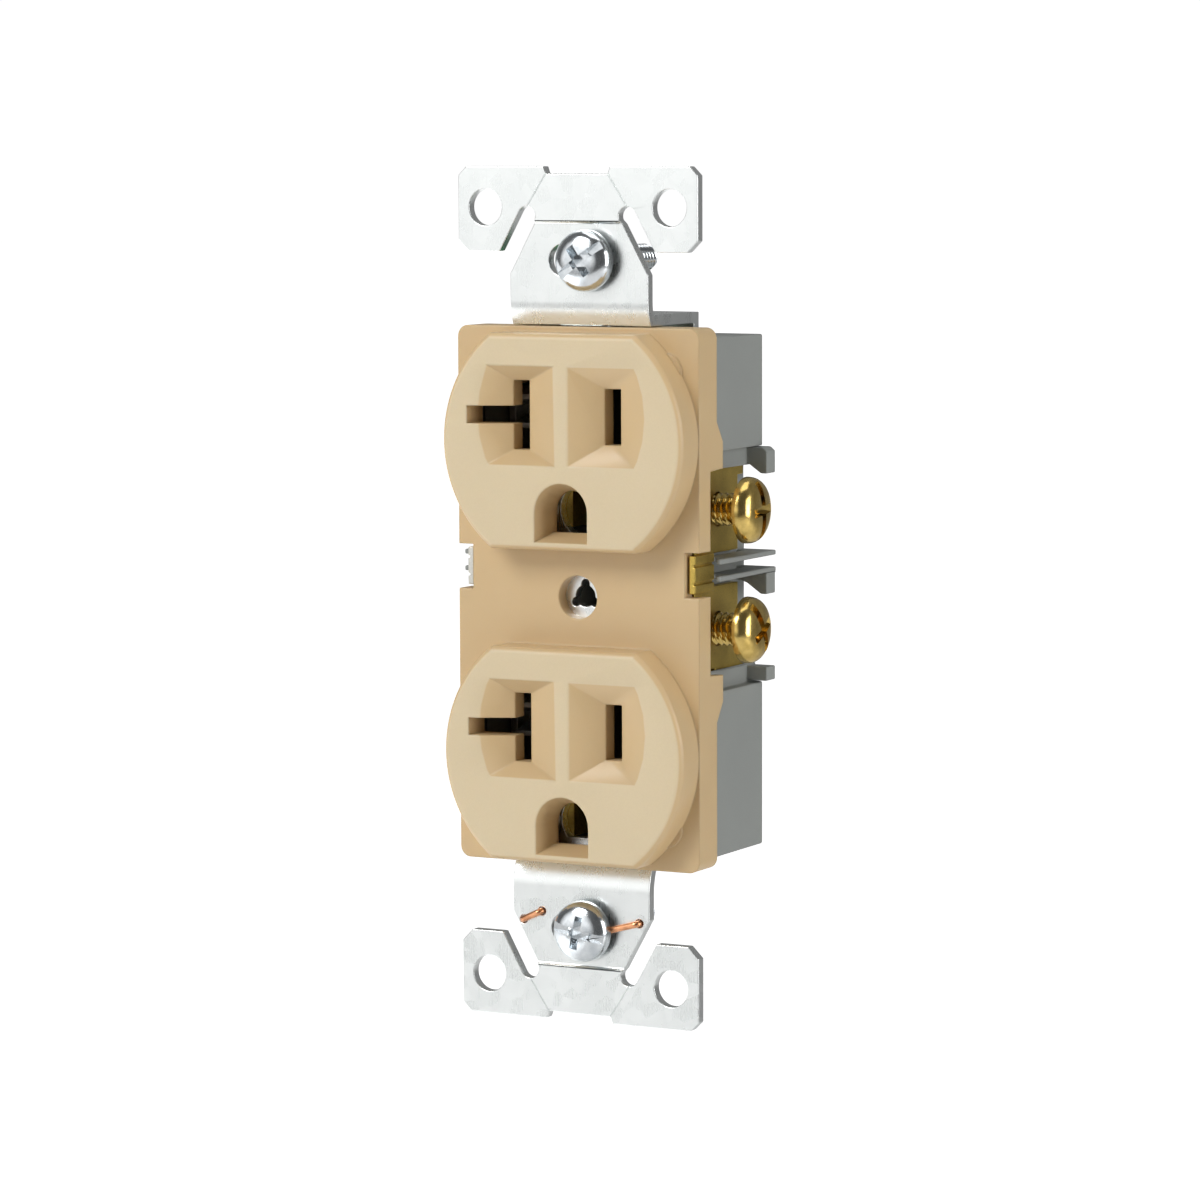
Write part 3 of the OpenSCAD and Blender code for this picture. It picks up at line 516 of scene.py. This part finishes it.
TOWARDS_FRONT = (math.radians(90), 0.0, 0.0)
TOWARDS_BACK = (math.radians(-90), 0.0, 0.0)
TOWARDS_RIGHT = (0.0, math.radians(90), 0.0)
TOWARDS_LEFT = (0.0, math.radians(-90), 0.0)
UPWARDS = (0.0, 0.0, 0.0)


def placed(form, name, points, sizes, lean, material, body, slot, nodes, edge=0.0):
    """Runs a form on its points and settles the result as one piece."""
    mesh = bpy.data.meshes.new(name)
    mesh.from_pydata([tuple(p) for p in points], [], [])
    obj = shown(mesh)
    modifier = obj.modifiers.new("form", "NODES")
    modifier.node_group = form.tree
    for key, value in {**sizes, "Lean": lean, "Finish": material}.items():
        modifier[form.keys[key]] = value
    if edge:
        bevel = obj.modifiers.new("round", "BEVEL")
        bevel.limit_method = "WEIGHT"
        bevel.width = edge
        bevel.segments = 2
    return settle(obj, name, body, material, nodes, SHARP_FORM)


# 6-32 and 8-32 screws have 32 threads to the inch
PITCH_32 = 25.4 * MM / 32
EDGE = 0.07 * MM                  # rounding of a screw head's edges


def pan_screw(head_radius, head_height, thread_radius, reach, turn, neck_radius, neck_length):
    return {
        "Head Radius": head_radius, "Head Height": head_height, "Head Sides": 64, "Head Squareness": 2.7,
        "Flange Radius": head_radius * 0.9, "Flange Height": head_height * 0.3,
        "Slot Width": 1.05 * MM, "Slot Depth": 0.95 * MM, "Cross Length": head_radius * 1.15,
        "Cross Depth": 1.5 * MM, "Turn": math.radians(turn), "Neck Radius": neck_radius,
        "Neck Length": neck_length, "Thread Radius": thread_radius, "Thread Depth": 0.42 * MM,
        "Pitch": PITCH_32, "Reach": reach}


# ---- The camera and the studio, at the object's working distance ----

def aim(obj, place, target):
    obj.location = place
    obj.rotation_mode = "QUATERNION"
    obj.rotation_quaternion = (Vector(target) - Vector(place)).to_track_quat("-Z", "Y")


def softbox(name, place, target, size, power):
    light = bpy.data.lights.new(name, "AREA")
    light.shape = "RECTANGLE"
    light.size, light.size_y = size
    light.energy = power
    obj = bpy.data.objects.new(name, light)
    bpy.context.scene.collection.objects.link(obj)
    aim(obj, place, target)


def make_camera():
    camera = bpy.data.objects.new("camera", bpy.data.cameras.new("camera"))
    bpy.context.scene.collection.objects.link(camera)
    camera.data.sensor_width = 36.0
    camera.data.lens = 143.52
    camera.data.clip_start = 0.05
    place = (0.276024, -0.521452, 0.057864)
    yaw, pitch, roll = (math.radians(a) for a in (27.628, 5.634, -0.19))
    turn = (Matrix.Rotation(yaw, 4, "Z") @ Matrix.Rotation(math.pi / 2 - pitch, 4, "X")
            @ Matrix.Rotation(roll, 4, "Z"))
    camera.matrix_world = Matrix.Translation(place) @ turn
    bpy.context.scene.camera = camera


def make_studio():
    scene = bpy.context.scene
    scene.view_settings.view_transform = "Standard"
    scene.world = bpy.data.worlds.new("studio")
    scene.world.use_nodes = True
    sky = Nodes(scene.world.node_tree)
    sky.tree.nodes.clear()
    look = sky.add("ShaderNodeTexCoord").outputs["Generated"]
    y, z = sky.xyz(look)[1:]
    towards_wall = sky.add("ShaderNodeMapRange", {0: y, 1: -0.35, 2: 0.25, 3: 0.10, 4: 0.22}).outputs[0]
    # A pale card at the front left, dimmer towards its foot, is what the steel strap mirrors
    near_card = sky.add("ShaderNodeVectorMath", {0: look, 1: (-0.47, -0.88, 0.0)}, operation="DOT_PRODUCT")
    facing = near_card.outputs["Value"]
    card = sky.add("ShaderNodeMapRange", {0: facing, 1: 0.78, 2: 0.94, 3: 0.0, 4: 1.0}).outputs[0]
    foot = sky.add("ShaderNodeMapRange", {0: z, 1: -0.20, 2: 0.02, 3: 0.36, 4: 1.12}).outputs[0]
    light = sky.math("ADD", towards_wall, sky.math("MULTIPLY", card, foot))
    # The backdrop itself is white, though the room that the metal mirrors is dim
    seen = sky.add("ShaderNodeLightPath").outputs["Is Camera Ray"]
    strength = sky.add("ShaderNodeMapRange", {0: seen, 3: light, 4: 1.02}).outputs[0]
    back = sky.add("ShaderNodeBackground", {"Color": (1.0, 1.0, 1.0, 1.0), "Strength": strength})
    sky.add("ShaderNodeOutputWorld", {"Surface": back.outputs[0]})
    centre = (0.0, 0.0, 0.0)
    softbox("key", (-0.32, -0.72, 0.62), centre, (0.45, 0.45), 5.9)
    softbox("side", (0.85, -0.05, 0.12), centre, (0.40, 0.60), 3.9)
    softbox("top", (0.05, 0.05, 0.85), centre, (0.60, 0.60), 1.9)


def make_floor():
    """Pale floor well below the outlet, as it would hang on a wall."""
    half, front, drop = 12.0, -0.8, -0.30
    mesh = bpy.data.meshes.new("floor")
    mesh.from_pydata([(-half, front, drop), (half, front, drop), (half, half, drop), (-half, half, drop)], [],
                     [(0, 1, 2, 3)])
    f = Finish("pale_floor", Roughness=0.9, Specular_IOR_Level=0.1, Emission_Color=(1.0, 1.0, 1.0, 1.0))
    # It glows only at the far left, where the steel strap mirrors it, but looks white all over
    glow = f.remap(f.xyz(f.place)[0], -0.27, -0.12, 0.95, 0.0)
    seen = f.add("ShaderNodeLightPath").outputs["Is Camera Ray"]
    f.feed(f.shader.inputs["Emission Strength"], f.remap(seen, 0.0, 1.0, glow, 0.95))
    f.colour(f.mix(f.noise(400 * MM), (0.93, 0.93, 0.93), (0.95, 0.95, 0.95)))
    mesh.materials.append(f.material)
    floor = bpy.data.objects.new("floor", mesh)
    bpy.context.scene.collection.objects.link(floor)


make_camera()
make_studio()
make_floor()


# ---- The outlet's pieces ----

def make_cover():
    face_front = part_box("front_cover")[0].y
    outlet_z = centre_of("hot_contact_upper").z
    pocket_reach = 13.0 * MM
    mouth_radius, pocket_radius = 0.08 * MM, 0.10 * MM

    def radius_at(p):
        if p.y > RAISED_FRONT or math.hypot(p.x, abs(p.z) - outlet_z) > pocket_reach:
            return 0.0
        return mouth_radius if p.y < face_front + 0.02 * MM else pocket_radius

    soften("cover_moulding", "front_cover", ROOT, IVORY, pocket_radius, radius_at,
           fold=COVER_FOLD, short=0.05 * MM, joined=False)


def make_body():
    soften("body_moulding", "rear_body", ROOT, GREY, MOULDED_EDGE)


def score_tool():
    """Cutter for the four score lines between the web and the break-off ears."""
    half_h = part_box("mounting_strap")[1].z
    deep, wide = 0.16 * MM, 0.22 * MM
    outer, inner = Vector((4.2 * MM, half_h - 0.7 * MM)), Vector((7.2 * MM, half_h - 5.3 * MM))
    along = (inner - outer).normalized()
    across = Vector((-along.y, along.x)) * wide
    bm = bmesh.new()
    for side in (-1, 1):
        for end in (-1, 1):
            ring = []
            for p in (outer, inner):
                rail = [(p + across, -deep), (p - across, -deep), (p, deep)]
                ring.append([bm.verts.new((side * q.x, y, end * q.y)) for q, y in rail])
            bm.faces.new(ring[0])
            bm.faces.new(reversed(ring[1]))
            for k in range(3):
                bm.faces.new((ring[0][k], ring[1][k], ring[1][k - 2], ring[0][k - 2]))
    bmesh.ops.recalc_face_normals(bm, faces=bm.faces)
    mesh = bpy.data.meshes.new("score_tool")
    bm.to_mesh(mesh)
    bm.free()
    return shown(mesh)


def make_strap():
    soften("strap_stamping", "mounting_strap", ROOT, STEEL, SHEET_EDGE,
           cutter=score_tool())


def make_terminals():
    head_height, thread_radius, neck_radius = 2.5 * MM, 2.08 * MM, 1.66 * MM
    soften("hot_strip", "hot_terminal_strip", ROOT, BRASS, SHEET_EDGE)
    soften("neutral_strip", "neutral_terminal_strip", ROOT, NICKEL, SHEET_EDGE)
    for side, lean, material, slot in (("hot", TOWARDS_RIGHT, BRASS_SCREW, "brass_screw"),
                                       ("neutral", TOWARDS_LEFT, ZINC_SCREW, "zinc_screw")):
        for level, turn in (("upper", 8), ("lower", 30)):
            node = f"{side}_screw_{level}"
            low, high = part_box(node)
            middle = (low + high) / 2
            head_radius = (high.y - low.y) / 2
            seat = high.x - head_height if side == "hot" else low.x + head_height
            reach = high.x - low.x - head_height
            sizes = pan_screw(head_radius, head_height, thread_radius, reach, turn, neck_radius, 0.4 * MM)
            placed(SCREW, f"{side}_terminal_screw_{level}", [(seat, middle.y, middle.z)], sizes, lean,
                   material, node, slot, [node], edge=EDGE)


def make_box_screws():
    head_height, thread_radius, neck_radius = 2.2 * MM, 1.75 * MM, 1.35 * MM
    for level, turn in (("upper", 35), ("lower", -12)):
        node = f"{level}_box_screw"
        low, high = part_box(node)
        middle = (low + high) / 2
        reach = high.y - low.y - head_height
        washer = f"{level}_screw_retainer"
        washer_low, washer_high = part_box(washer)
        seat = low.y + head_height
        sizes = pan_screw((high.x - low.x) / 2, head_height, thread_radius, reach, turn, neck_radius,
                          washer_high.y + 0.5 * MM - seat)
        placed(SCREW, f"{level}_device_screw", [(middle.x, seat, middle.z)], sizes, TOWARDS_FRONT, ZINC_SCREW,
               node, "zinc_screw", [node], edge=EDGE)
        sizes = {"Radius": (washer_high.x - washer_low.x) / 2, "Bore Radius": 1.4 * MM,
                 "Thickness": washer_high.y - washer_low.y, "Edge": 0.15 * MM}
        placed(WASHER, f"{level}_fibre_washer", [centre_of(washer)], sizes, TOWARDS_FRONT, FIBRE, washer,
               "fibre_washer", [washer])


def make_ground_screw():
    low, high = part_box("ground_screw")
    middle = (low + high) / 2
    head_height = 2.2 * MM
    sizes = pan_screw((high.x - low.x) / 2, head_height, 2.4 * MM, high.z - low.z - head_height, 20, 1.9 * MM,
                      0.4 * MM)
    sizes.update({"Head Radius": 4.05 * MM, "Head Sides": 6, "Head Squareness": 9.0,
                  "Flange Radius": (high.x - low.x) / 2, "Flange Height": 0.6 * MM, "Cross Length": 2.0 * MM,
                  "Cross Depth": 0.9 * MM})
    placed(SCREW, "green_ground_screw", [(middle.x, middle.y, high.z - head_height)], sizes, UPWARDS,
           GREEN_SCREW, "ground_screw", "green_screw", ["ground_screw"], edge=EDGE)


def make_assembly_screws():
    low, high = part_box("assembly_screws")
    head_radius, head_height = 2.2 * MM, 1.6 * MM
    x, z = high.x - head_radius, high.z - head_radius
    points = [(sx * x, high.y - head_height, sz * z) for sx in (-1, 1) for sz in (-1, 1)]
    reach = high.y - low.y - head_height
    sizes = pan_screw(head_radius, head_height, 1.2 * MM, reach, 33, 1.0 * MM, 0.6 * MM)
    sizes.update({"Slot Width": 0.6 * MM, "Slot Depth": 0.5 * MM, "Cross Length": 2.6 * MM,
                  "Cross Depth": 0.9 * MM, "Thread Depth": 0.25 * MM})
    placed(SCREW, "body_screws", points, sizes, TOWARDS_BACK, ZINC_SCREW, ROOT, "zinc_screw",
           ["assembly_screws"], edge=0.05 * MM)


def make_rivets():
    """Contact rivets, on the places that the frame gives them."""
    head_radius, head_height = 1.4 * MM, 0.5 * MM
    for node, material, slot in (("hot_contact_rivets", BRASS, "strip_brass"),
                                 ("neutral_contact_rivets", NICKEL, "nickel_brass"),
                                 ("ground_contact_rivets", NICKEL, "nickel_brass")):
        low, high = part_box(node)
        xs = sorted({low.x + head_radius, high.x - head_radius})
        if high.x - low.x < 3 * head_radius:
            xs = [(low.x + high.x) / 2]
        zs = (low.z + head_radius, high.z - head_radius)
        points = [(x, (low.y + high.y) / 2, z) for x in xs for z in zs]
        sizes = {"Shank Radius": 0.9 * MM, "Head Radius": head_radius, "Head Height": head_height,
                 "Grip": high.y - low.y - 2 * head_height, "Bore Radius": 0.5 * MM}
        placed(RIVET, node.replace("_rivets", "_rivet_set"), points, sizes, TOWARDS_FRONT, material, ROOT,
               slot, [node])


def wire_form():
    """Round wire along a path, with its corners turned over a small radius."""
    f = Form("wire_form", {"Radius": "Float", "Bend": "Float", "Finish": "Material"})
    g = f.given
    path = f.add("GeometryNodeMeshToCurve", {0: g["Geometry"]}).outputs[0]
    bent = f.add("GeometryNodeFilletCurve", {"Curve": path, "Radius": g["Bend"], "Count": 8,
                                             "Limit Radius": True}, mode="POLY").outputs[0]
    ring = f.add("GeometryNodeCurvePrimitiveCircle", {"Resolution": 20, "Radius": g["Radius"]}).outputs[0]
    wire = f.add("GeometryNodeCurveToMesh",
                 {"Curve": bent, "Profile Curve": ring, "Fill Caps": True}).outputs[0]
    finished = f.add("GeometryNodeSetMaterial", {0: wire, "Material": g["Finish"]})
    f.add("NodeGroupOutput", {0: finished.outputs[0]})
    return f


def make_clip():
    """Copper wire clip on the lower neck, hooked through the strap on the left."""
    wire_r = 0.4 * MM
    inset = wire_r + 0.02 * MM
    low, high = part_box("auto_ground_clip")
    screw = centre_of("lower_box_screw")
    front, back = low.y + inset, high.y - inset
    left, right = low.x + inset, high.x - inset
    top = high.z - inset
    points = [
        (left + 2.6 * MM, back, screw.z + 1.9 * MM), (left + 2.6 * MM, front, screw.z + 1.9 * MM),
        (left, front, screw.z + 0.7 * MM), (left, back, screw.z + 0.7 * MM),
        (-4.8 * MM, back, top), (5.6 * MM, back, top),
        (right, back, screw.z + 1.3 * MM), (right, front, screw.z + 1.3 * MM),
        (screw.x + 2.15 * MM, front, screw.z - 0.1 * MM)]
    mesh = bpy.data.meshes.new("clip_path")
    mesh.from_pydata(points, [(k, k + 1) for k in range(len(points) - 1)], [])
    obj = shown(mesh)
    form = wire_form()
    modifier = obj.modifiers.new("form", "NODES")
    modifier.node_group = form.tree
    for key, value in {"Radius": wire_r, "Bend": 0.55 * MM, "Finish": COPPER}.items():
        modifier[form.keys[key]] = value
    settle(obj, "ground_clip_wire", ROOT, COPPER, ["auto_ground_clip"], SHARP_WIRE)


def dress(node, material):
    """Gives a CAD node that stays its finish."""
    CAD[node].data.materials.clear()
    CAD[node].data.materials.append(material)


def make_contacts():
    for level in ("upper", "lower"):
        dress(f"hot_contact_{level}", BRASS)
        dress(f"neutral_contact_{level}", NICKEL)
        dress(f"ground_contact_{level}", BRASS)


make_cover()
make_body()
make_strap()
make_terminals()
make_box_screws()
make_ground_screw()
make_assembly_screws()
make_rivets()
make_clip()
make_contacts()
